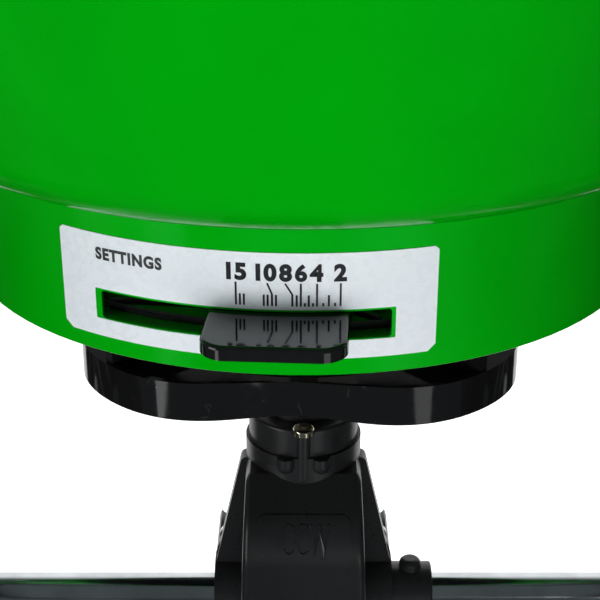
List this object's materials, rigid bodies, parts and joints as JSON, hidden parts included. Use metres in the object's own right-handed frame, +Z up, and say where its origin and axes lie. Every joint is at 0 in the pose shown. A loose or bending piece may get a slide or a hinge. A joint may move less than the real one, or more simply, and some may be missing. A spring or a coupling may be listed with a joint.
{
  "type": "garden spreader",
  "caption": "Walk-behind broadcast spreader: round hopper with a settings lever above a spinning disc driven from the axle, on two wheels and a rear stand.",
  "frame": {"origin": "on the ground, under the middle of the machine's box", "axes": "+Z up, +Y forward in the direction of travel, +X to the operator's right"},
  "size_m": [0.644, 0.8257, 1.001],
  "materials": {
    "green_plastic": "gloss, injection-moulded polypropylene",
    "label_white": "gloss vinyl label with a black printed scale",
    "black_gloss": "high gloss",
    "black_satin": "satin, fine moulded grain",
    "nylon": "natural nylon",
    "zinc": "bright zinc plated, polished",
    "plain_steel": "plain ground steel",
    "frame_paint": "black powder coat",
    "nickel": "nickel-washed brass colour",
    "rubber_black": "matt rubber",
    "tyre_black": "matt tyre rubber with a ribbed tread",
    "foam": "closed-cell foam sleeve",
    "wheel_plastic": "moulded, fine grain"
  },
  "bodies": {
    "chassis": {"hopper": "green_plastic", "settings_label": "label_white", "floor_bushing": "nylon", "bushing_clip": "zinc", "gearbox_front_shell": "black_satin", "gearbox_rear_shell": "black_satin", "gearbox_collar": "black_satin", "shaft_bushing": "black_satin", "collar_screws": "nickel", "gearbox_screws": "zinc", "gearbox_bushing": "black_satin", "main_tube_right": "frame_paint", "main_tube_left": "frame_paint", "handle_bar": "frame_paint", "handle_grip": "foam", "handle_bolts": "zinc", "handle_knobs": "black_satin", "cross_brace": "frame_paint", "brace_bolts": "zinc", "axle_bracket_right": "frame_paint", "axle_bracket_left": "frame_paint", "axle_bearing_right": "nylon", "axle_bearing_left": "nylon", "hopper_bracket_right": "frame_paint", "hopper_bracket_left": "frame_paint", "hopper_bolts": "zinc", "hopper_nuts": "zinc", "rear_stand": "frame_paint", "stand_feet": "rubber_black", "stand_strap_right": "frame_paint", "stand_strap_left": "frame_paint", "frame_bolts": "zinc", "frame_nuts": "zinc", "stand_spacers": "zinc", "tube_plugs": "black_satin"},
    "axle_set": {"axle": "zinc", "crown_gear": "black_satin", "crown_bolt": "black_satin", "crown_nut": "zinc", "axle_cotter_pins": "zinc", "axle_washers": "zinc", "axle_spacers": "black_satin", "drive_wheel_rim": "wheel_plastic", "drive_wheel_tyre": "tyre_black", "drive_wheel_valve": "rubber_black", "drive_wheel_pin": "zinc"},
    "disc_set": {"impeller_shaft": "plain_steel", "impeller": "black_gloss", "impeller_pin": "zinc", "agitator_hub": "black_satin", "agitator_wire": "plain_steel", "pinion_gear": "nylon", "pinion_pin": "plain_steel"},
    "shutter": {"shutter_plate": "black_gloss"},
    "free_wheel": {"free_wheel_rim": "wheel_plastic", "free_wheel_tyre": "tyre_black", "free_wheel_valve": "rubber_black"}
  },
  "joints": [
    {"name": "axle_spin", "type": "hinge", "parent": "chassis", "child": "axle_set", "pos_m": [0, 0.17192, 0.165], "axis": [1, 0, 0], "continuous": true},
    {"name": "disc_spin", "type": "hinge", "parent": "chassis", "child": "disc_set", "pos_m": [0, 0.17192, 0.3], "axis": [0, 0, 1], "continuous": true},
    {"name": "free_wheel_spin", "type": "hinge", "parent": "axle_set", "child": "free_wheel", "pos_m": [0.27, 0.17192, 0.165], "axis": [1, 0, 0], "continuous": true},
    {"name": "shutter_swing", "type": "hinge", "parent": "chassis", "child": "shutter", "pos_m": [0, 0.17192, 0.3577], "axis": [0, 0, 1], "range_deg": [-15.5, 4.8]}
  ],
  "couplings": [
    {"joint": "disc_spin", "follows": "axle_spin", "ratio": -3}
  ]
}
